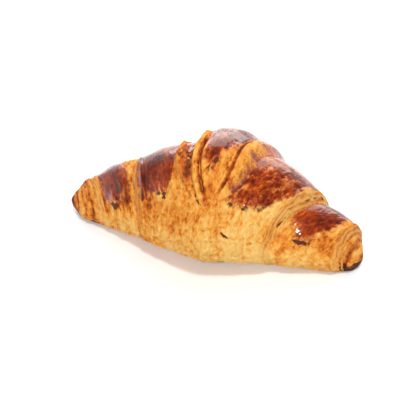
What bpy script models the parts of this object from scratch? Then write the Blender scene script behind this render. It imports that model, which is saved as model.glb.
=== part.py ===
"""A large butter croissant, rolled up from one triangle of laminated dough.

Frame: +X runs along the roll, -Y is the front, +Z is up, and the origin lies under the middle of the
croissant on the surface that it rests on. All of it is one baked piece, so it is one solid.
"""

from collections import namedtuple

import bmesh
import bpy
import numpy as np

MM = 0.001

# The roll as a whole.
HALF_LENGTH = 84 * MM
MIDDLE_LINE = -3.6 * MM  # where the roll's middle line lies, halfway along it
BOW = 11 * MM  # how far that stands in front of the two noses
BEND = 1.6  # 2 bows the roll evenly, less bends it more in the middle
WIDE = 1.15  # half the width over the radius
REST = 0.86  # height of the roll's middle line over its radius
CROWN_LIFT = 1.5 * MM
CROWN_STRETCH = 0.15  # how much taller than round the crown stands in the middle
BASE_ROUNDING = 1.5 * MM  # how softly the flank turns into the flat base

# A wrap is what shows of one turn of the dough. Each is given from its outer seam to where the next
# turn covers it: both places on the crown, both radii, and how much it swells in between.
Wrap = namedtuple("Wrap", "outer inner outer_radius inner_radius swell")
LEFT_WRAPS = (
    Wrap(-67 * MM, -38 * MM, 13.6 * MM, 18.2 * MM, 0.8 * MM),
    Wrap(-38 * MM, 8 * MM, 22.6 * MM, 30.4 * MM, 1.2 * MM),
)
RIGHT_WRAPS = (
    Wrap(74 * MM, 52 * MM, 12.8 * MM, 17.8 * MM, 0.6 * MM),
    Wrap(52 * MM, 8 * MM, 20.0 * MM, 30.6 * MM, 2.0 * MM),
)
NOSE_RADII = (11.6 * MM, 11.2 * MM)  # left and right, beside the outermost seams
NOSE_TAPER = 1.8  # 2 rounds a nose like a ball, less makes it run to a point
NOSE_FULLNESS = 0.72  # 0.5 gives a nose a blunt end, 1 a sharp one
NOSE_LEVELS = (-78 * MM, 81 * MM)  # past these the roll's middle line runs level, which lifts the tips
SEAM_WIDTH = 3.6 * MM

# A seam runs towards the middle as it comes down the front, because the sheet narrows as it is rolled.
LEAN_PLACES = (-84 * MM, -67 * MM, -38 * MM, -16 * MM, 8 * MM, 28 * MM, 52 * MM, 74 * MM, 84 * MM)
LEANS = (0.0, 10 * MM, 10.5 * MM, 7 * MM, 0.0, -7 * MM, -10 * MM, -4.5 * MM, 0.0)
LEAN_SWING = 1.2
LEAN_DROP = 0.1

# The end of the sheet: two tongues, one on the other, that come over the crown and run to one point.
Tongue = namedtuple("Tongue", "left right left_bend right_bend height")
TONGUE_TIP_ANGLE = np.radians(53)
TONGUE_TIP = 12 * MM
TONGUES = (
    Tongue(-16.5 * MM, 28 * MM, 1.8, 2.6, 2.8 * MM),
    Tongue(-6 * MM, 18.5 * MM, 1.5, 3.0, 3.0 * MM),
)
TONGUE_START = np.radians(-180)  # under the croissant, where both tongues come out from level
TONGUE_RUN_OUT = np.radians(35)
TONGUE_BACK_SPREAD = 8 * MM  # how much further out each edge lies behind the crown
TONGUE_EDGE = 3.0 * MM
TONGUE_THINNING = 0.7  # share of its height that a tongue has lost at its tip

# Fineness of the solid: rings along the roll, and points round each.
RINGS = 80
ROUND_POINTS = 60
RING_CROWDING = 0.55  # 0 spaces the rings evenly, 1 crowds them at the noses as on a globe

CRUST_COLOUR = (0.62, 0.23, 0.05, 1.0)
CRUST_ROUGHNESS = 0.45


def smooth_step(value):
    """0 below 0, 1 above 1, and a soft S between."""
    value = np.clip(value, 0.0, 1.0)
    return value * value * (3.0 - 2.0 * value)


def wrap_radius(wrap, place):
    share = np.clip((place - wrap.outer) / (wrap.inner - wrap.outer), 0.0, 1.0)
    plain = wrap.outer_radius + (wrap.inner_radius - wrap.outer_radius) * share
    return plain + wrap.swell * 4.0 * share * (1.0 - share)


def side_radius(wraps, nose_radius, place, side):
    """Radius on the crown of one side of the roll, where side is -1 left and 1 right."""
    outermost = wraps[0].outer
    towards_nose = side * (place - outermost) / (HALF_LENGTH - abs(outermost))
    radius = nose_radius * (1.0 - np.clip(towards_nose, 0.0, 1.0) ** NOSE_TAPER) ** NOSE_FULLNESS
    for wrap in wraps:
        inside = smooth_step(0.5 - side * (place - wrap.outer) / SEAM_WIDTH)
        radius = radius + (wrap_radius(wrap, place) - radius) * inside
    return radius


def crown_radius(place):
    middle = LEFT_WRAPS[-1].inner
    left = side_radius(LEFT_WRAPS, NOSE_RADII[0], place, -1)
    right = side_radius(RIGHT_WRAPS, NOSE_RADII[1], place, 1)
    return np.where(place < middle, left, right)


def lean(place, angle):
    """How far along the roll a point has run with its seam, against where the seam crosses the crown."""
    reach = np.interp(place, LEAN_PLACES, LEANS)
    return reach * (LEAN_SWING * np.sin(angle) + LEAN_DROP * (1.0 - np.cos(angle)))


def tongue_edge(crown_place, bend, angle, side):
    """Where an edge of a tongue lies at an angle round the roll."""
    down = np.clip(angle / TONGUE_TIP_ANGLE, 0.0, 1.0) ** bend
    behind = np.clip(-angle / np.pi, 0.0, 1.0)
    return crown_place + (TONGUE_TIP - crown_place) * down + side * TONGUE_BACK_SPREAD * behind


def tongue_rise(tongue, along, angle):
    """Height of a tongue over the dough under it."""
    left = tongue_edge(tongue.left, tongue.left_bend, angle, -1)
    right = tongue_edge(tongue.right, tongue.right_bend, angle, 1)
    inwards = np.minimum(along - left, right - along)
    above_tip = (TONGUE_TIP_ANGLE - angle) * wrap_radius(LEFT_WRAPS[-1], TONGUE_TIP)
    cover = smooth_step(np.minimum(inwards, above_tip) / TONGUE_EDGE + 0.5)
    from_start = smooth_step((angle - TONGUE_START) / TONGUE_RUN_OUT)
    thinned = 1.0 - TONGUE_THINNING * np.clip(angle / TONGUE_TIP_ANGLE, 0.0, 1.0) ** 2
    return tongue.height * cover * from_start * thinned


def crust_points(place, angle):
    """Points of the crust, from places on the crown and angles round the roll, 0 up and 90 in front."""
    along = place + lean(place, angle)
    radius = crown_radius(place)
    for tongue in TONGUES:
        radius = radius + tongue_rise(tongue, along, angle)
    mid_height = REST * crown_radius(np.clip(place, *NOSE_LEVELS))
    from_middle = np.abs(place / HALF_LENGTH) ** BEND
    upwards = np.cos(angle) * (1.0 + CROWN_STRETCH * (1.0 - from_middle) * np.maximum(np.cos(angle), 0.0))
    height = mid_height + CROWN_LIFT * (1.0 - from_middle) + radius * upwards
    soft = (height + BASE_ROUNDING) ** 2 / (4.0 * BASE_ROUNDING)
    height = np.where(height > BASE_ROUNDING, height, np.where(height > -BASE_ROUNDING, soft, 0.0))
    depth = MIDDLE_LINE + BOW * from_middle - WIDE * radius * np.sin(angle)
    return np.stack([along, depth, height], axis=-1)


def ring_place(polar):
    """Where on the crown a ring of the globe goes, for its polar angle from the left nose."""
    even = 2.0 * polar / np.pi - 1.0
    globe = -np.cos(polar)
    return HALF_LENGTH * (even + RING_CROWDING * (globe - even))


def crust_mesh():
    """A globe with its poles at the two noses, drawn out into the croissant."""
    shape = bmesh.new()
    bmesh.ops.create_uvsphere(shape, u_segments=ROUND_POINTS, v_segments=RINGS, radius=1.0)
    globe = np.array([vert.co for vert in shape.verts])
    polar = np.arccos(np.clip(-globe[:, 2], -1.0, 1.0))
    angle = np.arctan2(globe[:, 0], globe[:, 1])
    for vert, point in zip(shape.verts, crust_points(ring_place(polar), angle)):
        vert.co = point
    shape.normal_update()
    bmesh.ops.recalc_face_normals(shape, faces=shape.faces)
    mesh = bpy.data.meshes.new("croissant")
    shape.to_mesh(mesh)
    shape.free()
    mesh.shade_smooth()
    return mesh


def crust_material():
    material = bpy.data.materials.new("baked_crust")
    material.use_nodes = True
    shader = material.node_tree.nodes["Principled BSDF"]
    shader.inputs["Base Color"].default_value = CRUST_COLOUR
    shader.inputs["Roughness"].default_value = CRUST_ROUGHNESS
    return material


def main():
    for old in list(bpy.data.objects):
        bpy.data.objects.remove(old)
    pastry = bpy.data.collections.new("croissant")
    bpy.context.scene.collection.children.link(pastry)
    mesh = crust_mesh()
    mesh.materials.append(crust_material())
    pastry.objects.link(bpy.data.objects.new("croissant", mesh))


main()
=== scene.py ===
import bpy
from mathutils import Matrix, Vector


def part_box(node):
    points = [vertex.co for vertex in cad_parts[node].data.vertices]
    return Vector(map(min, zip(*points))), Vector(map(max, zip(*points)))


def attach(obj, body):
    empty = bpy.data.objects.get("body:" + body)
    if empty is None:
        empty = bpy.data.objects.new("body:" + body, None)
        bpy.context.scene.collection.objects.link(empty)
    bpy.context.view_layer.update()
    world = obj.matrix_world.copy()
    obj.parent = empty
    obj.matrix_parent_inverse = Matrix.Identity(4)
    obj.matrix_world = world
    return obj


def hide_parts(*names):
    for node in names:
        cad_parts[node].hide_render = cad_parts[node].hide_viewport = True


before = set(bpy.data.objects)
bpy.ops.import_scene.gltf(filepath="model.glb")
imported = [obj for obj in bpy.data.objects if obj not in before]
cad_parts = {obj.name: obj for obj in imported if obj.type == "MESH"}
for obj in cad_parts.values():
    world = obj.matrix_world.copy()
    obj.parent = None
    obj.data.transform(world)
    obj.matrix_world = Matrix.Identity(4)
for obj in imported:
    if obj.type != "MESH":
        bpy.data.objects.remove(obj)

"""A baked butter croissant. One sheet of laminated dough is rolled up, so the crust is made of wraps that
lie over each other like sleeves, each with the cut edge of the sheet showing as thin layers at its rim,
and of two tongues, the end of the sheet, that come over the crown and run to one tip on the front.

Places are told along the roll on the crown (0 in the middle, + to the right) and by the angle round it
(0 on top, 90 degrees in front). Both, and all sizes, are in millimetres and degrees until a mesh is set.
"""

from collections import namedtuple

import bmesh
import bpy
import numpy as np
from mathutils import Vector

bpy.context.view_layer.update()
low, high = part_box("croissant")
MM = 0.001

# ------------------------------------------------------------------ the roll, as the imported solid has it
HALF_LENGTH = high.x / MM
MIDDLE_LINE, BOW, BEND = -3.6, 11.0, 1.6
WIDE, REST, CROWN_LIFT, CROWN_STRETCH, BASE_ROUNDING = 1.15, 0.86, 1.5, 0.15, 1.5
NOSE_RADII, NOSE_TAPER, NOSE_FULLNESS, NOSE_LEVELS = (11.6, 11.2), 1.8, 0.72, (-78.0, 81.0)
LEAN_PLACES = (-84.0, -67.0, -38.0, -16.0, 8.0, 28.0, 52.0, 74.0, 84.0)
LEANS = (0.0, 10.0, 10.5, 7.0, 0.0, -7.0, -10.0, -4.5, 0.0)
LEAN_SWING, LEAN_DROP = 1.2, 0.1
# the front is drawn in below the belly, by these shares of its depth and between these angles
UNDERCUT_PLACES = (-70.0, -45.0, -20.0, 10.0, 30.0, 48.0, 68.0)
UNDERCUTS = (0.10, 0.42, 0.44, 0.25, 0.56, 0.50, 0.10)
UNDERCUT_ANGLES, UNDERCUT_RADII = (108.0, 152.0), (6.0, 16.0)
LEFT_LIP, LEFT_INSIDE = -67.0, -38.0  # where the left wrap starts, and where the middle one covers it
RIGHT_LIP, RIGHT_INSIDE = 74.0, 52.0  # and the same on the right
TIP_PLACE, TIP_ANGLE = 9.8, 59.5  # the common tip of both tongues
JOIN, CROWN_RADIUS = 8.0, 30.4  # where the two halves of the middle wrap meet, under the tongues


class Noise:
    """Smooth seeded noise over three coordinates, mostly between -1 and 1."""

    EVEN_OUT = 1.6  # brings the plain sum up to that range

    def __init__(self, seed):
        draw = np.random.default_rng(seed)
        self.order = draw.permutation(256)
        slopes = draw.normal(size=(256, 3))
        self.slopes = slopes / np.linalg.norm(slopes, axis=1, keepdims=True)

    def __call__(self, size, *axes):
        """Noise whose lumps are about one size across, or one size for each axis."""
        spot = np.stack(np.broadcast_arrays(*axes), axis=-1) / size
        cell = np.floor(spot).astype(int)
        rest = spot - cell
        fade = rest**3 * (rest * (rest * 6.0 - 15.0) + 10.0)
        total = np.zeros(spot.shape[:-1])
        for corner in np.ndindex(2, 2, 2):
            x, y, z = np.moveaxis((cell + corner) & 255, -1, 0)
            slope = self.slopes[self.order[(self.order[(self.order[x] + y) & 255] + z) & 255]]
            weight = np.prod(np.where(corner, fade, 1.0 - fade), axis=-1)
            total += weight * ((rest - corner) * slope).sum(axis=-1)
        return self.EVEN_OUT * total


def smooth(value, start=0.0, end=1.0):
    """0 at start, 1 at end, and a soft S between."""
    share = np.clip((value - start) / (end - start), 0.0, 1.0)
    return share * share * (3.0 - 2.0 * share)


def bell(value, width):
    """1 at zero, falling away to either side."""
    return np.exp(-((value / width) ** 2))


# ------------------------------------------------------------------ form of the roll
def lean(place, angle):
    """How far along the roll a seam has run, at an angle, from where it crosses the crown."""
    turn = np.radians(angle)
    sideways = LEAN_SWING * np.sin(turn) + LEAN_DROP * (1.0 - np.cos(turn))
    return np.interp(place, LEAN_PLACES, LEANS) * sideways


def place_of(along, angle):
    """The place on the crown whose seam passes a point that lies along the roll at an angle."""
    place = along
    for _ in range(10):
        place = along - lean(place, angle)
    return place


def roll_points(place, angle, level, radius):
    """Points in millimetres. The roll's middle line stands at a share of the level radius."""
    turn = np.radians(angle)
    from_middle = np.abs(place / HALF_LENGTH) ** BEND
    upwards = np.cos(turn) * (1.0 + CROWN_STRETCH * (1.0 - from_middle) * np.maximum(np.cos(turn), 0.0))
    height = REST * level + CROWN_LIFT * (1.0 - from_middle) + radius * upwards
    soft = (height + BASE_ROUNDING) ** 2 / (4.0 * BASE_ROUNDING)
    height = np.where(height > BASE_ROUNDING, height, np.where(height > -BASE_ROUNDING, soft, 0.0))
    drawn_in = np.interp(place, UNDERCUT_PLACES, UNDERCUTS) * smooth(angle, *UNDERCUT_ANGLES)
    drawn_in = drawn_in * smooth(radius, *UNDERCUT_RADII)
    depth = MIDDLE_LINE + BOW * from_middle - WIDE * radius * np.sin(turn) * (1.0 - drawn_in)
    return np.stack(np.broadcast_arrays(place + lean(place, angle), depth, height), axis=-1)


def swelling(place, start, end, start_radius, end_radius, swell):
    """Radius of a wrap between two places, fuller in between."""
    share = (place - start) / (end - start)
    inside = np.clip(share, 0.0, 1.0)
    return start_radius + (end_radius - start_radius) * share + swell * 4.0 * inside * (1.0 - inside)


def nose_radius(place, side):
    """Radius of the nose on the left (side 0) or right (side 1), rounded off at its tip."""
    outermost = (LEFT_LIP, RIGHT_LIP)[side]
    run = np.clip((place - outermost) / (HALF_LENGTH * (-1.0, 1.0)[side] - outermost), 0.0, 1.0)
    return NOSE_RADII[side] * (1.0 - run**NOSE_TAPER) ** NOSE_FULLNESS


def left_wrap_radius(place):
    return swelling(place, LEFT_LIP, LEFT_INSIDE, 12.9, 20.4, 0.9)


def middle_radius(place):
    left = swelling(place, LEFT_INSIDE, JOIN, 22.0, CROWN_RADIUS, 1.7)
    right = swelling(place, 50.0, JOIN, 21.3, CROWN_RADIUS, 2.6)
    return np.where(place < JOIN, left, right)


def right_wrap_radius(place):
    return swelling(place, RIGHT_LIP, RIGHT_INSIDE, 12.8, 17.8, 0.6)


# ------------------------------------------------------------------ making a mesh from tables
def drawn_globe(name, points, fields):
    """A closed mesh: a globe whose rings and points take their places from a grid, in millimetres.

    The grid has a row for each ring, the first and last of them the globe's poles. The fields are
    numbers, or triples, for each point of the grid, which the finish reads by name.
    """
    rings, around = points.shape[0] - 1, points.shape[1]
    shape = bmesh.new()
    bmesh.ops.create_uvsphere(shape, u_segments=around, v_segments=rings, radius=1.0)
    globe = np.array([vert.co[:] for vert in shape.verts])
    ring = np.rint(np.arccos(np.clip(-globe[:, 2], -1.0, 1.0)) / np.pi * rings).astype(int)
    column = np.rint(np.arctan2(globe[:, 1], globe[:, 0]) / (2.0 * np.pi) * around).astype(int) % around
    for vert, point in zip(shape.verts, points[ring, column] * MM):
        vert.co = point
    shape.normal_update()
    bmesh.ops.recalc_face_normals(shape, faces=shape.faces)
    mesh = bpy.data.meshes.new(name)
    shape.to_mesh(mesh)
    shape.free()
    mesh.shade_smooth()
    for field, values in fields.items():
        values = np.broadcast_to(values, points.shape[:2] + np.shape(values)[2:])[ring, column]
        kind, slot = ("FLOAT_VECTOR", "vector") if values.ndim == 2 else ("FLOAT", "value")
        mesh.attributes.new(field, kind, "POINT").data.foreach_set(slot, values.astype(np.float32).ravel())
    piece = bpy.data.objects.new(name, mesh)
    bpy.context.scene.collection.objects.link(piece)
    return piece


def round_angles(count, finest=40.0, crowding=0.42):
    """Angles round the roll, in degrees, closest together on the side that is seen most."""
    even = np.linspace(-180.0, 180.0, count, endpoint=False)
    angles = even - np.degrees(crowding * np.sin(np.radians(even - finest)))
    return (angles + 180.0) % 360.0 - 180.0


# ------------------------------------------------------------------ the crust's relief
coarse, medium, fine, wander = Noise(3), Noise(11), Noise(23), Noise(37)


def around_roll(place, angle, radius):
    """Coordinates without a seam, in millimetres, for noise that follows the roll."""
    turn = np.radians(angle)
    return np.broadcast_arrays(place, radius * np.cos(turn), radius * np.sin(turn))


MEAN_RELIEF = 0.45  # so that the uneven crust is as large as the plain form


def crust_relief(where, streaky=1.0):
    """Uneven dough: how high it stands, and the part of that which is fine enough to catch the eye.

    There are broad swells, folds and a fine crumple, and thin plates where a layer has come away. Where the
    crust is streaky they run round the roll with the layers, elsewhere they run along it, with dents.
    """
    swells = 0.75 * coarse(16.0, *where) + 0.35 * medium(7.0, *where)
    folds = 0.95 * streaky * (0.3 - np.abs(wander((3.8, 20.0, 20.0), *where)))
    round_it, along_it = np.abs(medium((2.9, 4.6, 4.6), *where)), np.abs(wander((5.4, 3.2, 3.2), *where))
    crumple = 0.75 * (0.3 - streaky * round_it - (1.0 - streaky) * along_it) + 0.26 * fine(1.6, *where)
    plates = 0.34 * smooth(coarse((4.0, 8.0, 8.0), *where), 0.02, 0.12)
    plates = streaky * (plates + 0.26 * smooth(wander((2.6, 5.0, 5.0), *where), 0.05, 0.15))
    flakes = 0.34 * smooth(coarse((9.0, 5.5, 5.5), *where), 0.02, 0.12)
    flakes = (1.0 - streaky) * (flakes + 0.26 * smooth(wander((5.6, 3.2, 3.2), *where), 0.05, 0.15))
    lines = 0.24 * fine((1.8, 15.0, 15.0), *where) + 0.12 * medium((1.0, 9.0, 9.0), *where)
    dents = (0.3 - np.abs(fine((5.5, 4.2, 4.2), *where))) * (1.0 - streaky)
    detail = folds + crumple + plates + flakes + lines * (0.35 + 0.65 * streaky) + dents
    return swells + detail - MEAN_RELIEF, detail


# where its middle is, along the roll and down the front, how many degrees it is turned, and its sizes
Crease = namedtuple("Crease", "along down turn length depth width")


def random_creases(seed, count, along, down, depth):
    """Short wrinkles strewn over a stretch of crust, along the roll and down its front."""
    draw = np.random.default_rng(seed)
    return [Crease(draw.uniform(*along), draw.uniform(*down), draw.uniform(-70.0, 70.0),
                   draw.uniform(2.5, 7.0), draw.uniform(0.4, 1.0) * depth, draw.uniform(0.4, 0.7))
            for _ in range(count)]


def belly_share(place, angle):
    """1 on the bulging front below the tip, where the crust is crumpled every way, and 0 elsewhere."""
    return 0.95 * smooth(angle, 24.0, 42.0) * smooth(np.abs(place + 4.0), 38.0, 28.0)


def creased(creases, along, down):
    """How deep the crust is creased, with a low lip raised beside each crease."""
    depth = 0.0
    for crease in creases:
        turn = np.radians(crease.turn)
        run = (along - crease.along) * np.cos(turn) + (down - crease.down) * np.sin(turn)
        off = (down - crease.down) * np.cos(turn) - (along - crease.along) * np.sin(turn)
        off = off + 0.25 * crease.length * (run / crease.length) ** 2
        reach = bell(run, 0.6 * crease.length)
        depth = depth + crease.depth * reach * (bell(off, crease.width) - 0.5 * bell(off - 1.4, 0.9))
    return depth


def near(place, angle, radius, centre_place, centre_angle, size, stretch=1.0):
    """1 at a spot on the crust and 0 past its size, which is stretched round the roll."""
    across = (place - centre_place) / size
    down = radius * np.radians(angle - centre_angle) / (size * stretch)
    return np.exp(-(across**2 + down**2))


# where it is, its size and how far it is stretched round the roll, how high it stands and how dark it is
Spot = namedtuple("Spot", "place angle size stretch raised dark")


def spotted(spots, place, angle, radius, where):
    """Blisters, burnt spots and painted shadows below blisters: how high they stand, and how dark they are."""
    raised, dark = 0.0, 0.0
    ragged = fine((1.1, 1.6, 1.6), *where) + 0.6 * medium(2.4, *where)
    for spot in spots:
        cover = near(place, angle, radius, *spot[:4])
        raised = raised + spot.raised * cover
        dark = np.maximum(dark, spot.dark * smooth(cover + 0.45 * ragged, 0.25, 0.75))
    return raised, dark


# ------------------------------------------------------------------ wraps
BAND_RINGS = 30
TREAD_HEIGHT = 0.55  # of each thin layer in a wrap's cut edge
UNGLAZED = -4.0  # so many millimetres outside the egg wash
RELIEF_ENDS = 146.0, 116.0  # towards the base the crust is uneven up to the second angle, smooth from the first
STREAKS_END = 140.0, 104.0  # and its streaks and the painted shade of its hollows end in the same way
BASE_BROWN = 164.0, 174.0  # the underside is browner from between these angles on
# a wrap's rim: the places of its ridge and foot, the layers that show between, and how far it slides along
# the roll in front and behind
Lip = namedtuple("Lip", "ridge foot foot_radius layers front_shift back_shift")


def lip_table(lip, ridge_radius):
    """Rings from a wrap's ridge down to its foot: place, radius, share of the way and layer."""
    share = np.linspace(0.0, 1.0, BAND_RINGS)
    place = lip.ridge + (lip.foot - lip.ridge) * share
    radius = ridge_radius + (lip.foot_radius - ridge_radius) * share**1.15
    return np.stack([place, radius, share, share * lip.layers])


def wrap_rings(radius_of, ends, surface_rings):
    """A column for each ring of a wrap, from left to right: place, radius, share of a lip and layer."""
    starts = [end.ridge if isinstance(end, Lip) else end for end in ends]
    places = np.linspace(*starts, surface_rings)
    is_nose = [abs(start) >= HALF_LENGTH - 0.1 for start in starts]
    if any(is_nose):
        bunched = 1.0 - np.cos(np.linspace(0.0, np.pi / 2, surface_rings))
        places = starts[0] + (starts[1] - starts[0]) * (bunched if is_nose[0] else (1.0 - bunched[::-1]))
    rings = [np.stack([places, radius_of(places), 0.0 * places, 0.0 * places])]
    if isinstance(ends[0], Lip):
        rings.insert(0, lip_table(ends[0], radius_of(starts[0]))[:, :0:-1])
    if isinstance(ends[1], Lip):
        rings.append(lip_table(ends[1], radius_of(starts[1]))[:, 1:])
    closing = [[1.0], [0.0], [1.0], [1.0]]
    if not is_nose[0]:
        rings.insert(0, rings[0][:, :1] * closing)
    if not is_nose[1]:
        rings.append(rings[-1][:, -1:] * closing)
    return np.concatenate(rings, axis=1), any(is_nose)


def wrap_piece(name, radius_of, ends, surface_rings, around, glaze_of, marks_of, spots=()):
    """One sleeve of crust. Each end is a lip, a place where it is tucked away, or the tip of a nose."""
    rings, has_nose = wrap_rings(radius_of, ends, surface_rings)
    place, radius, share, layer = (ring[:, None] for ring in rings)
    angle = round_angles(around)[None, :]
    lips = [end for end in ends if isinstance(end, Lip)]
    for lip in lips:
        close_by = bell(np.minimum(np.abs(place - lip.ridge), np.abs(place - lip.foot)), 9.0)
        front = smooth(angle, -10.0, 25.0) * smooth(angle, 170.0, 120.0)
        back = smooth(angle, 0.0, -35.0) * smooth(angle, -175.0, -130.0)
        place = place + close_by * (lip.front_shift * front + lip.back_shift * back)
    level = np.maximum(radius, 0.01)
    if has_nose:
        level = np.where(np.abs(place) > 78.0, radius_of(np.clip(place, *NOSE_LEVELS)), radius)
    where = around_roll(place, angle, np.maximum(radius, 1.0))

    in_band = smooth(share, 0.0, 0.06)
    phase = layer + in_band * (0.9 * wander((4.0, 13.0, 13.0), *where) + 0.35 * fine(3.0, *where))
    raised, darkened = spotted(spots, place, angle, radius, where)
    toast_and_shade, cut, painted_cut_shade = marks_of(place, angle, radius, where)
    for lip in lips:
        raised = raised + (0.5 + 0.6 * wander(9.0, *where)) * bell(place - lip.ridge, 1.4)
    streaky = 1.0 - belly_share(place, angle)
    relief, detail = crust_relief(where, streaky)
    glaze = np.where(share > 0.02, UNGLAZED, glaze_of(place, angle, radius))
    calm = 1.0 - 0.86 * smooth(glaze, -1.0, 2.0)
    lift = relief * (1.0 - 0.55 * in_band) * calm + raised - cut
    lift = lift * smooth(np.abs(angle), *RELIEF_ENDS) + in_band * TREAD_HEIGHT * (np.mod(phase, 1.0) - 0.6)

    # painted shade: the crevice low in a wrap's cut edge is painted dark
    painted_crevice_shade = 0.75 * bell(share - 0.62 - 0.12 * wander(8.0, *where), 0.10) * (share > 0.05)
    painted_crevice_shade = painted_crevice_shade * smooth(angle, 88.0, 55.0) * (0.7 + 0.8 * fine(3.0, *where))
    streaks_fade = smooth(np.abs(angle), *STREAKS_END)
    uneven = np.maximum(radius + lift * smooth(radius, 0.0, 7.0), 0.0)
    points = roll_points(place, angle, level, np.where(radius > 0.01, uneven, 0.0))
    return drawn_globe(name, points, {
        "glaze": glaze,
        "layer": phase,
        "band": in_band * (1.0 - 0.6 * smooth(angle, 55.0, 85.0)),
        "burnt_and_shade": np.maximum(np.maximum(darkened, painted_cut_shade), painted_crevice_shade),
        "toast_and_shade": toast_and_shade + 0.5 * smooth(np.abs(angle), *BASE_BROWN),
        # burnt spots, and painted shade: shadows below blisters, the depth of the gash and the crevice in the
        # cut edge
        "streaky": streaky * streaks_fade,
        # painted shade: darker where the crust dips and where it is cut
        "hollow_and_shade": np.clip(0.9 * cut - detail, -1.0, 1.0) * streaks_fade,
        "roll": np.stack(where, axis=-1),
    })


def brushed(places, front_angles, back_angle, left, right):
    """Where the egg wash was brushed on: millimetres inside its edge, or outside it where negative."""

    def field(place, angle, radius):
        front = np.interp(place, places, front_angles)
        down = np.radians(np.minimum(front - angle, angle - back_angle)) * radius
        return np.minimum(np.minimum(down, 1.5 * (place - left)), 1.5 * (right - place))

    return field


def no_glaze(place, angle, radius):
    return np.full(np.broadcast_shapes(np.shape(place), np.shape(angle)), UNGLAZED)


GASH = Crease(20.5, 40.0, 33.0, 4.4, 2.0, 0.9)
SEAM_BELOW_TIP = Crease(13.0, 36.0, 84.0, 4.0, 0.5, 0.5)
belly_creases = [
    GASH, SEAM_BELOW_TIP,
    *random_creases(5, 16, (-34.0, 10.0), (33.0, 58.0), 0.7),
    *random_creases(8, 16, (12.0, 40.0), (34.0, 60.0), 0.7),
]


def belly_marks(place, angle, radius, where):
    """Toast, cuts and painted shade in the cuts of the middle wrap: wrinkled, paler towards the base in front,
    with one orange patch left of the tip and a gash right of it, painted dark as shade where it is deepest.
    """
    along = place + lean(place, angle)
    down = np.radians(angle) * 29.0
    patch = near(along, angle, radius, -6.0, 75.0, 8.0, 0.8)
    flank = 0.22 * smooth(place, -24.0, -36.0) - 0.18 * smooth(place, 22.0, 40.0)
    low_down = smooth(angle, 52.0, 100.0)
    cut = creased(belly_creases, along, down)
    # painted shade: the gash is darkened where it is deepest
    painted_cut_shade = near(along, angle, radius, 20.5, 79.0, 4.0, 0.9) * smooth(cut, 0.5, 1.3)
    return 0.12 + 0.26 * patch + flank - 0.20 * low_down, cut, painted_cut_shade


def nose_marks(place, angle, radius, where):
    """Toast, cuts and painted cut shade (none) of the noses: creased across and painted darker in the creases
    as shade, brown at the tips, the right one scorched below.
    """
    creases = 0.45 * bell(np.mod(np.abs(place) + 1.2 * wander(9.0, *where), 3.4) - 1.5, 0.55)
    scorched = 0.65 * smooth(angle + 14.0 * medium(4.0, *where), 84.0, 100.0) * smooth(place, 72.0, 79.0)
    tip = 0.34 * smooth(place, -77.0, -83.0) + 0.06 * smooth(place, 77.0, 83.0)
    toast_and_shade = np.where(place < 0.0, 0.14, 0.05) + tip + scorched + 0.4 * smooth(angle, 112.0, 135.0)
    # painted shade: the crust is darker in the creases
    return toast_and_shade + 0.4 * creases, creases, 0.0 * creases


def flank_marks(place, angle, radius, where):
    """Toast, cuts and painted cut shade (none) of the small wraps: fine lines low in front, and browner beside
    the left seam.
    """
    lines = 0.35 * smooth(angle, 50.0, 75.0) * (0.3 - np.abs(medium((1.5, 22.0, 22.0), *where)))
    beside_seam = 0.36 * bell(place + 51.0, 4.5) * smooth(angle, 80.0, 40.0)
    return 0.15 + beside_seam - 0.20 * smooth(angle, 60.0, 105.0), -lines, 0.0 * lines


def make_wraps():
    yield wrap_piece(
        "left_nose", lambda place: nose_radius(place, 0), (-HALF_LENGTH, -60.0), 90, 176,
        no_glaze, nose_marks)
    yield wrap_piece(
        "left_wrap", left_wrap_radius, (Lip(LEFT_LIP, -71.5, 10.4, 2.6, 0.0, 4.0), -34.0), 130, 240,
        brushed((-66, -64, -59, -54, -51, -48), (44, 56, 60, 48, 40, 15), -70.0, -66.0, -47.5), flank_marks,
        # the second spot is a painted shadow, dark just below the blister
        spots=(Spot(-59.0, 50.0, 3.0, 1.0, 1.2, 0.0), Spot(-59.0, 60.0, 2.6, 0.8, 0.0, 1.0)))
    yield wrap_piece(
        "middle_wrap", middle_radius,
        (Lip(-38.5, -44.5, 17.0, 3.2, -3.0, 3.5), Lip(49.8, 53.8, 17.0, 3.4, 0.0, -1.5)),
        200, 352, middle_glaze, belly_marks,
        spots=(Spot(-38.5, 47.0, 1.5, 2.4, 0.2, 1.0), Spot(-26.0, 46.0, 1.7, 0.9, 0.4, 0.9),
               Spot(-22.0, 48.0, 1.9, 1.2, 0.4, 0.9), Spot(28.0, 48.0, 1.9, 1.0, 0.5, 0.7),
               Spot(36.0, 47.0, 2.3, 1.0, 0.9, 0.7), Spot(42.0, 40.0, 3.4, 0.8, 1.3, 0.5)))
    yield wrap_piece(
        "right_wrap", right_wrap_radius, (44.0, Lip(75.0, 79.0, 8.4, 3.2, 0.0, 0.0)), 110, 240,
        brushed((54, 58, 61, 64, 66, 67.5, 70, 72), (32, 43, 57, 58, 52, 38, 25, 0), -75.0, 53.5, 71.5),
        # the second spot is a painted shadow, a dark crescent just below the blister
        flank_marks, spots=(Spot(62.5, 50.0, 3.4, 1.0, 1.2, 0.0), Spot(63.5, 59.0, 3.4, 0.5, 0.0, 1.0)))
    yield wrap_piece(
        "right_nose", lambda place: nose_radius(place, 1), (66.0, HALF_LENGTH), 90, 176,
        no_glaze, nose_marks)


left_half_glaze = brushed((-41, -36, -31, -26, -22, -20, -18, -16), (48, 47, 46, 46, 47, 43, 30, 5), -75.0,
                          -41.5, -4.0)
right_half_glaze = brushed((20, 26, 33, 40, 44, 47, 49), (42, 46, 48, 46, 38, 28, 8), -75.0, 12.0, 49.6)
THIN_WASH = 2.4  # the wash is never thicker than this on the right half, so that its brush marks show


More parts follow.
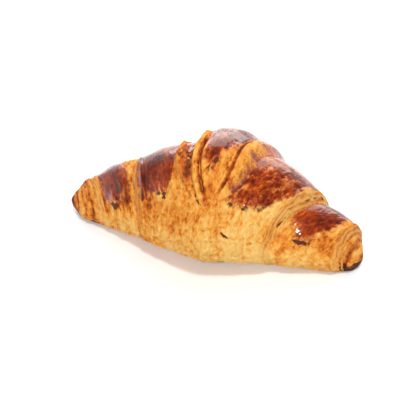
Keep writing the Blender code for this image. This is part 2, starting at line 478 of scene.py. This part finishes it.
def middle_glaze(place, angle, radius):
    right = np.minimum(right_half_glaze(place, angle, radius), THIN_WASH)
    return np.where(place < JOIN, left_half_glaze(place, angle, radius), right)


# ------------------------------------------------------------------ tongues
TONGUE_TAIL = -170.0  # the angle under the back at which they end
# its edges on the crown, how late each bends to the tip, its thickness, and how high it lies over the wrap
Tongue = namedtuple("Tongue", "left right left_bend right_bend height under")
OUTER = Tongue(-16.5, 28.0, 1.8, 2.6, 2.9, 0.0)
INNER = Tongue(-4.4, 18.5, 1.9, 3.0, 3.0, 2.7)
INNER_RADIUS = 34.0  # of the roll with the inner tongue on it
BACK_SPREAD = 8.0  # how much wider each side gets behind the crown
UNDERSIDE = -2.5  # of a tongue, below the wrap that it lies on


def tongue_edges(tongue, angle):
    """Both edges of a tongue along the roll, at an angle."""
    down = np.clip(angle / TIP_ANGLE, 0.0, 1.0)
    behind = BACK_SPREAD * smooth(-angle, 0.0, 70.0)
    left = tongue.left + (TIP_PLACE - tongue.left) * down**tongue.left_bend - behind
    right = tongue.right + (TIP_PLACE - tongue.right) * down**tongue.right_bend + behind
    return left, right


def tongue_piece(name, tongue, rings, around, surface):
    """A tongue of crust: a closed, flat sheet over the crown, from the tip in front to under the back."""
    run = np.linspace(0.0, 1.0, rings + 1)[:, None]
    angle = TIP_ANGLE + (TONGUE_TAIL - TIP_ANGLE) * (run + 0.02 * np.sin(2.0 * np.pi * run))
    top = int(around * 0.84)
    over, under = np.linspace(0.0, 1.0, top), np.linspace(1.0, 0.0, around - top + 2)[1:-1]
    across = np.concatenate([over, under])[None, :]
    is_top = (np.arange(around) < top)[None, :]
    left, right = tongue_edges(tongue, angle)
    jagged = 0.5 * wander(2.6, angle, 0.0, 7.0)
    along = left + (right - left) * across + jagged * (1.0 - 2.0 * across) * smooth(run, 0.0, 0.05)
    place = place_of(along, angle)
    level = middle_radius(place)
    where = around_roll(along, angle, level)
    from_left, from_right = along - left, right - along
    height, fields = surface(along, angle, from_left, from_right, where)
    thinned = (1.0 - 0.75 * np.clip(angle / TIP_ANGLE, 0.0, 1.0) ** 2) * smooth(angle, -172.0, -140.0)
    sink = 0.7 * (1.0 - smooth(run, 0.0, 1.0 / 14.0))
    lifted = tongue.under + np.where(is_top, height, UNDERSIDE)
    radius = level + lifted * thinned - sink + 0.45 * coarse(14.0, *where) * smooth(run, 0.0, 0.1)
    points = roll_points(place, angle, level, radius)
    return drawn_globe(name, points, {**fields, "layer": 0.0, "band": 0.0, "streaky": 0.4,
                                      "roll": np.stack(where, axis=-1)})


def outer_surface(along, angle, from_left, from_right, where):
    """Torn and rough on the left, where it dips to the inner tongue, with painted shade in the dips; smooth and
    golden on the right.
    """
    inner_left, inner_right = tongue_edges(INNER, angle)
    ragged = 1.6 * (0.3 - np.abs(fine((2.4, 3.4, 3.4), *where))) + medium(3.4, *where)
    rim = smooth(from_left, -0.3, 1.6) * smooth(from_right, -0.3, 4.5)
    width = np.maximum(inner_left - (along - from_left), 1.0)
    hollow_and_shade = bell(from_left / width - 0.60, 0.44) * smooth(angle, 44.0, 26.0) * smooth(angle, -60.0, -20.0)
    left_side = smooth(inner_left + 1.0 - along, 0.0, 2.0)
    low_behind = 1.0 - 0.55 * left_side * smooth(angle, 8.0, -20.0)
    shoulder = smooth(along - inner_right, -3.0, 0.5) * smooth(from_right, 0.0, 8.0)
    groove = bell(along - inner_right - 0.7, 0.9) * smooth(angle, 51.0, 38.0)
    height = OUTER.height * rim * low_behind + 0.6 * bell(from_left - 1.3, 1.3)
    height = height - 2.3 * hollow_and_shade * left_side - 1.7 * groove
    height = height + left_side * ragged + 1.9 * shoulder + 0.4 * bell(from_right - 3.6, 1.1)
    glaze = np.where(angle < -15.0, 0.1 * (-15.0 - angle), -4.0) - 3.0 * left_side
    glaze = np.where(angle < -85.0, -4.0, glaze)
    glaze = np.maximum(glaze, 2.2 - 1.1 * from_right - 6.0 * left_side - 4.0 * smooth(angle, 34.0, 44.0))
    relief, detail = crust_relief(where, 0.5)
    height = height + (relief - 0.75 * coarse(16.0, *where)) * (0.8 - 0.5 * smooth(glaze, -1.0, 2.0))
    # painted shade in the crevice at the foot of the inner tongue's left edge
    painted_crevice_shade = bell(along - inner_left + 0.7, 0.8) * smooth(angle, 26.0, 38.0)
    # painted shade: darker in the torn hollow and beside the inner tongue's left edge
    burnt_and_shade = np.clip(hollow_and_shade * left_side * (0.48 - ragged), 0.0, 0.9)
    burnt_and_shade = np.maximum(burnt_and_shade, 0.7 * bell(along - inner_left + 0.5, 0.8) * smooth(angle, 40.0, 10.0))
    burnt_and_shade = np.maximum(burnt_and_shade, 0.85 * painted_crevice_shade * (0.8 + 0.8 * fine(2.0, *where)))
    burnt_and_shade = np.maximum(burnt_and_shade, 0.5 * bell(from_right - 0.3, 0.7))
    # painted shade: browner in the torn hollow and in the groove
    toast_and_shade = 0.12 + 0.08 * left_side * smooth(from_left, 1.5, 4.0) + 0.34 * hollow_and_shade * left_side + 0.5 * groove
    # painted shade: darker in the dips of the rough crust
    hollow_and_shade = np.clip(-detail - 0.5 * left_side * ragged, -1.0, 1.0)
    return height, {"glaze": glaze, "burnt_and_shade": burnt_and_shade, "toast_and_shade": toast_and_shade, "hollow_and_shade": hollow_and_shade}


def inner_surface(along, angle, from_left, from_right, where):
    """A pale standing ridge on its left, a groove beside it painted dark as shade, then the glazed top and an
    orange shoulder.
    """
    front = smooth(angle, -60.0, -20.0)
    ridge = (bell(from_left - 1.2, 0.9) + 0.5 * bell(from_left - 2.6, 0.6)) * front
    groove = bell(from_left - 4.4, 1.0) * smooth(angle, 52.0, 42.0) * smooth(angle, -24.0, -4.0)
    second = bell(from_left - 6.6, 1.2) * smooth(angle, 44.0, 36.0) * smooth(angle, 0.0, 12.0)
    right_rim = 0.35 * smooth(from_right, -0.5, 1.8) + 0.65 * smooth(from_right, -2.0, 9.0)
    rim = smooth(from_left, -0.4, 0.6) * right_rim
    domed = 0.70 + 0.30 * smooth(from_left, 2.0, 9.0)
    height = INNER.height * rim * domed + 0.9 * ridge - 2.2 * groove + 0.4 * second
    crown = smooth(from_left, 4.0, 10.0) * smooth(from_right, 0.0, 8.0) * smooth(angle, 30.0, 5.0)
    height = height + 1.3 * crown
    front_edge = np.interp(along, (-2, 1, 5, 8, 11, 14, 17, 18.5), (-25, 3, 21, 25, 21, 12, 0, -12))
    glaze = np.radians(np.minimum(front_edge - angle, angle + 85.0)) * 26.4
    glaze = np.minimum(glaze, 1.5 * (from_left - 5.4))
    relief, detail = crust_relief(where, 0.4)
    height = height + (relief - 0.75 * coarse(16.0, *where)) * (0.75 - 0.5 * smooth(glaze, -1.0, 2.0))
    upper_spot = near(along, angle, INNER_RADIUS, 10.5, 21.0, 2.2, 1.4)
    spots = np.maximum(upper_spot, near(along, angle, INNER_RADIUS, 8.8, 27.0, 1.7))
    ragged = fine((1.1, 1.6, 1.6), *where) + 0.6 * medium(2.4, *where)
    # painted shade: darker in the groove; the spots are burnt
    burnt_and_shade = np.maximum(0.8 * groove * (0.75 + 0.6 * ragged), 0.9 * smooth(spots + 0.5 * ragged, 0.25, 1.0))
    # the groove is also painted browner as shade
    toast_and_shade = 0.27 - 0.24 * ridge + 0.30 * groove - 0.20 * second
    # painted shade: darker in the dips of the crust
    hollow_and_shade = np.clip(-detail, -1.0, 1.0)
    return height, {"glaze": glaze, "burnt_and_shade": burnt_and_shade, "toast_and_shade": toast_and_shade, "hollow_and_shade": hollow_and_shade}


# ------------------------------------------------------------------ finishes
def colour(red, green, blue):
    """A display colour from 0 to 255 as the linear one that a shader takes."""
    share = np.array([red, green, blue]) / 255.0
    linear = np.where(share <= 0.04045, share / 12.92, ((share + 0.055) / 1.055) ** 2.4)
    return (*(float(part) for part in linear), 1.0)


class Wire:
    """A number from a node's socket. Arithmetic on it adds Math nodes."""

    def __init__(self, finish, socket):
        self.finish, self.socket = finish, socket

    def maths(self, operation, *values):
        node = self.finish.node("ShaderNodeMath", {"operation": operation}, dict(enumerate(values)))
        return Wire(self.finish, node.outputs[0])

    def __add__(self, other):
        return self.maths("ADD", self, other)

    def __sub__(self, other):
        return self.maths("SUBTRACT", self, other)

    def __mul__(self, other):
        return self.maths("MULTIPLY", self, other)

    def __rsub__(self, other):
        return self.maths("SUBTRACT", other, self)

    def __mod__(self, other):
        return self.maths("FLOORED_MODULO", self, other)

    __radd__, __rmul__ = __add__, __mul__

    def smooth(self, start, end):
        """0 at start, 1 at end, and a soft S between."""
        node = self.finish.node("ShaderNodeMapRange", {"interpolation_type": "SMOOTHSTEP"},
                                {"Value": self, "From Min": start, "From Max": end})
        return Wire(self.finish, node.outputs["Result"])

    def clamp(self):
        return self.maths("MINIMUM", self.maths("MAXIMUM", self, 0.0), 1.0)


class Finish:
    """The nodes of a material, or of the light around."""

    def __init__(self, owner):
        owner.use_nodes = True
        self.owner, self.tree = owner, owner.node_tree

    def node(self, kind, settings=None, sockets=None):
        node = self.tree.nodes.new(kind)
        for name, setting in (settings or {}).items():
            if name == "stops":
                for index, (position, tint) in enumerate(setting):
                    stops = node.color_ramp.elements
                    stop = stops[index] if index < 2 else stops.new(position)
                    stop.position, stop.color = position, tint
            else:
                setattr(node, name, setting)
        for name, value in (sockets or {}).items():
            self.feed(node.inputs[name], value)
        return node

    def feed(self, socket, value):
        value = value.socket if isinstance(value, Wire) else value
        if isinstance(value, bpy.types.NodeSocket):
            self.tree.links.new(value, socket)
        else:
            socket.default_value = value

    def field(self, name):
        """A number that the mesh keeps for each point."""
        return Wire(self, self.node("ShaderNodeAttribute", {"attribute_name": name}).outputs["Fac"])

    def scaled(self, vector, sizes):
        node = self.node("ShaderNodeVectorMath", {"operation": "DIVIDE"}, {0: vector, 1: sizes})
        return node.outputs["Vector"]

    def noise(self, vector, sizes, detail=3.0, roughness=0.55):
        """Noise from 0 to 1, with lumps of the given sizes in the vector's units."""
        node = self.node("ShaderNodeTexNoise", {"noise_dimensions": "3D"}, {
            "Vector": self.scaled(vector, sizes), "Scale": 1.0, "Detail": detail, "Roughness": roughness})
        return Wire(self, node.outputs[0])

    def ramp(self, factor, stops):
        return self.node("ShaderNodeValToRGB", {"stops": stops}, {"Fac": factor}).outputs["Color"]

    def mix(self, factor, first, second):
        node = self.node("ShaderNodeMix", {"data_type": "RGBA"}, {"Factor": factor, 6: first, 7: second})
        return node.outputs[2]


CRUST_TONES = (
    (0.00, colour(249, 202, 116)), (0.22, colour(242, 174, 78)), (0.42, colour(229, 138, 42)),
    (0.60, colour(190, 92, 22)), (0.78, colour(130, 56, 17)), (1.00, colour(64, 28, 14)),
)
GLAZE_TONES = (
    (0.00, colour(218, 116, 26)), (0.28, colour(190, 82, 16)), (0.50, colour(150, 52, 12)),
    (0.72, colour(106, 34, 13)), (1.00, colour(50, 20, 14)),
)
LAYER_TONES = colour(190, 100, 32), colour(240, 172, 84)
# dark browns for burnt spots and for painted shade
BURNT_AND_SHADE_TONES = colour(46, 22, 14), colour(124, 58, 24)


def crust_finish():
    """Baked dough: pale gold to brown by how hot it got, dark and glossy where the egg wash lies, with painted
    shade darker in its dips, cuts, grooves and crevices.
    """
    finish = Finish(bpy.data.materials.new("baked_crust"))
    roll = finish.node("ShaderNodeAttribute", {"attribute_name": "roll"}).outputs["Vector"]
    glaze, layer, band = finish.field("glaze"), finish.field("layer"), finish.field("band")
    burnt_and_shade, toast_and_shade, hollow_and_shade = finish.field("burnt_and_shade"), finish.field("toast_and_shade"), finish.field("hollow_and_shade")
    streaky = finish.field("streaky")
    patches = finish.noise(roll, (12.0, 14.0, 14.0), detail=2.0)
    streaks = finish.noise(roll, (1.3, 14.0, 14.0), detail=3.0)
    hairs = finish.noise(roll, (0.5, 5.0, 5.0), detail=2.0)
    grain = finish.noise(roll, (1.5, 1.9, 1.9), detail=5.0, roughness=0.65)
    blotches = finish.noise(roll, (3.4, 4.4, 4.4), detail=3.0)
    flecks = finish.noise(roll, (0.9, 1.3, 1.3), detail=2.0)
    bent = finish.node("ShaderNodeTexNoise", {}, {
        "Vector": finish.scaled(roll, (1.8, 2.2, 2.2)), "Scale": 1.0, "Detail": 2.0}).outputs["Color"]
    bent = finish.node("ShaderNodeVectorMath", {"operation": "MULTIPLY_ADD"}, {
        0: bent, 1: (5.0, 6.0, 6.0), 2: roll}).outputs["Vector"]
    cells = finish.node("ShaderNodeTexVoronoi", {"feature": "DISTANCE_TO_EDGE"}, {
        "Vector": finish.scaled(bent, (2.6, 3.4, 3.4)), "Scale": 1.0})
    cracks = 1.0 - Wire(finish, cells.outputs["Distance"]).smooth(0.0, 0.13)

    heat = 0.27 + toast_and_shade + (patches - 0.5) * 0.40 + (streaks - 0.5) * streaky * 0.45 + (grain - 0.5) * 0.75
    # painted shade: the crust is darker where it dips and is cut
    heat = heat + (blotches - 0.5) * 0.46 + hollow_and_shade * 0.26
    heat = heat + cracks * (0.03 + blotches.smooth(0.46, 0.66) * 0.17) + flecks.smooth(0.62, 0.74) * 0.22
    crust = finish.ramp(heat.clamp(), CRUST_TONES)

    brushed_on = glaze + (blotches - 0.5) * 8.0 + (grain - 0.5) * 6.0 + (streaks - 0.5) * 3.0
    cover = brushed_on.smooth(-2.2, 2.2)
    thick = 0.24 + brushed_on.smooth(-1.5, 4.5) * 0.42 + (patches - 0.5) * 0.9 + (streaks - 0.5) * 0.45
    thick = thick + (grain - 0.5) * 1.1 + (blotches - 0.5) * 0.5
    # the same painted shade darkens the egg wash in dips and cuts
    thick = thick + flecks.smooth(0.60, 0.74) * 0.2 + hollow_and_shade * 0.12
    wash = finish.ramp(thick.clamp(), GLAZE_TONES)
    tint = finish.mix(cover, crust, wash)

    # pale layers with a dark line at each step between them: the laminated dough's own colour, and painted
    # shade at the steps
    tread = layer % 1.0
    lines = (tread.smooth(0.0, 0.45) - tread.smooth(0.75, 1.0)).clamp()
    worn = (0.35 + (blotches - 0.35) * 2.2).clamp()
    lit = (lines * 0.8 + (grain - 0.5) * 1.8 + 0.15).clamp()
    edges = finish.mix(lit, *LAYER_TONES)
    tint = finish.mix(band * worn, tint, edges)
    # darkened: burnt spots, and painted shade in crevices, grooves, hollows, the gash and below blisters
    darkened = (burnt_and_shade + ((grain - 0.5) * 1.3 + (flecks - 0.5) * 0.5) * burnt_and_shade.smooth(0.0, 0.3)).smooth(0.30, 0.85)
    tint = finish.mix(darkened, tint, finish.mix(grain, *BURNT_AND_SHADE_TONES))

    relief = grain * 0.9 + (hairs * 0.30 + streaks * 0.8) * streaky - cracks * 0.14 + blotches * 0.5
    relief = relief * (1.0 - cover * 0.84)
    bump = finish.node("ShaderNodeBump", {}, {"Strength": 0.85, "Distance": 0.0011, "Height": relief})
    shader = finish.tree.nodes["Principled BSDF"]
    finish.feed(shader.inputs["Base Color"], tint)
    finish.feed(shader.inputs["Normal"], bump.outputs["Normal"])
    finish.feed(shader.inputs["Roughness"], 0.62 - cover * 0.34 + (grain - 0.5) * 0.2)
    finish.feed(shader.inputs["Coat Weight"], cover * 0.62 * (1.0 - darkened * 0.7))
    shader.inputs["Coat Roughness"].default_value = 0.08
    shader.inputs["Specular IOR Level"].default_value = 0.2
    return finish.owner


# ------------------------------------------------------------------ studio
CAMERA_AZIMUTH, CAMERA_ELEVATION, CAMERA_DISTANCE = 20.0, 32.0, 0.80
CAMERA_LENS, CAMERA_SENSOR = 128.4, 36.0


def view_axes(azimuth, elevation):
    """Right, up and back of a camera that looks at the croissant."""
    turn, rise = np.radians([azimuth, elevation])
    back = Vector((np.sin(turn) * np.cos(rise), -np.cos(turn) * np.cos(rise), np.sin(rise)))
    right = Vector((np.cos(turn), np.sin(turn), 0.0))
    return right, back.cross(right), back


def make_camera():
    right, up, back = view_axes(CAMERA_AZIMUTH, CAMERA_ELEVATION)
    middle = Vector((0.0, (low.y + high.y) / 2 + 7.5 * MM, 30.0 * MM))
    aim = middle - right * 1.5 * MM - up * 10.2 * MM
    data = bpy.data.cameras.new("camera")
    data.lens, data.sensor_width = CAMERA_LENS, CAMERA_SENSOR
    camera = bpy.data.objects.new("camera", data)
    camera.location = middle + back * CAMERA_DISTANCE
    camera.rotation_euler = (aim - camera.location).to_track_quat("-Z", "Y").to_euler()
    bpy.context.scene.collection.objects.link(camera)
    bpy.context.scene.camera = camera


def make_lamp(name, azimuth, elevation, distance, size, strength, tint=(1.0, 1.0, 1.0)):
    """A soft square lamp that faces the croissant."""
    data = bpy.data.lights.new(name, "AREA")
    data.shape = "RECTANGLE"
    data.size, data.size_y = size
    data.energy, data.color = strength, tint
    lamp = bpy.data.objects.new(name, data)
    _, _, back = view_axes(azimuth, elevation)
    lamp.location = back * distance + Vector((0.0, 0.0, 0.03))
    lamp.rotation_euler = back.to_track_quat("Z", "Y").to_euler()
    bpy.context.scene.collection.objects.link(lamp)
    return lamp


def seen_white(finish):
    """1 where a camera, a reflection or a clear material looks, and 0 for light that falls on things."""
    path = finish.node("ShaderNodeLightPath").outputs
    camera, glossy, through = (
        Wire(finish, path[name]) for name in ("Is Camera Ray", "Is Glossy Ray", "Is Transmission Ray"))
    return (camera + glossy + through).clamp()


def make_floor():
    bpy.ops.mesh.primitive_plane_add(size=6.0)
    floor = bpy.context.object
    floor.name = "floor"
    finish = Finish(bpy.data.materials.new("floor"))
    shader = finish.tree.nodes["Principled BSDF"]
    finish.feed(shader.inputs["Base Color"], (0.86, 0.86, 0.86, 1.0))
    finish.feed(shader.inputs["Roughness"], 0.9)
    shader.inputs["Specular IOR Level"].default_value = 0.0
    glow = finish.node("ShaderNodeEmission", {}, {"Strength": 0.26})
    both = finish.node("ShaderNodeAddShader", {}, {0: shader.outputs[0], 1: glow.outputs[0]})
    chosen = finish.node("ShaderNodeMixShader", {}, {
        0: seen_white(finish), 1: shader.outputs[0], 2: both.outputs[0]})
    finish.feed(finish.tree.nodes["Material Output"].inputs["Surface"], chosen.outputs[0])
    floor.data.materials.append(finish.owner)


def make_world():
    """White where the camera looks, a dim even light on things, and dim above the horizon in reflections."""
    world = bpy.data.worlds.new("studio")
    bpy.context.scene.world = world
    finish = Finish(world)
    around = finish.tree.nodes["Background"]
    camera = Wire(finish, finish.node("ShaderNodeLightPath").outputs["Is Camera Ray"])
    direction = finish.node("ShaderNodeTexCoord").outputs["Generated"]
    height = Wire(finish, finish.node("ShaderNodeSeparateXYZ", {}, {0: direction}).outputs["Z"])
    backdrop = 1.0 - height.smooth(0.05, 0.45) * 0.92
    lit = 1.0 - seen_white(finish)
    finish.feed(around.inputs["Color"], (1.0, 1.0, 1.0, 1.0))
    finish.feed(around.inputs["Strength"], camera + (1.0 - camera) * (lit * 0.31 + (1.0 - lit) * backdrop))


def main():
    crust = crust_finish()
    pieces = list(make_wraps())
    pieces.append(tongue_piece("outer_tongue", OUTER, 250, 176, outer_surface))
    pieces.append(tongue_piece("inner_tongue", INNER, 250, 150, inner_surface))
    for piece in pieces:
        piece.data.materials.append(crust)
        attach(piece, "root")
    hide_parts("croissant")
    make_camera()
    make_world()
    make_floor()
    make_lamp("overhead", 192.0, 37.0, 1.1, (1.4, 1.1), 16.5, (1.0, 0.97, 0.92))
    make_lamp("front", 5.0, 28.0, 1.2, (0.7, 0.5), 3.6).visible_glossy = False
    make_lamp("key", 24.0, 60.0, 1.0, (0.14, 0.14), 5.2)
    bpy.context.scene.view_settings.view_transform = "Standard"


main()
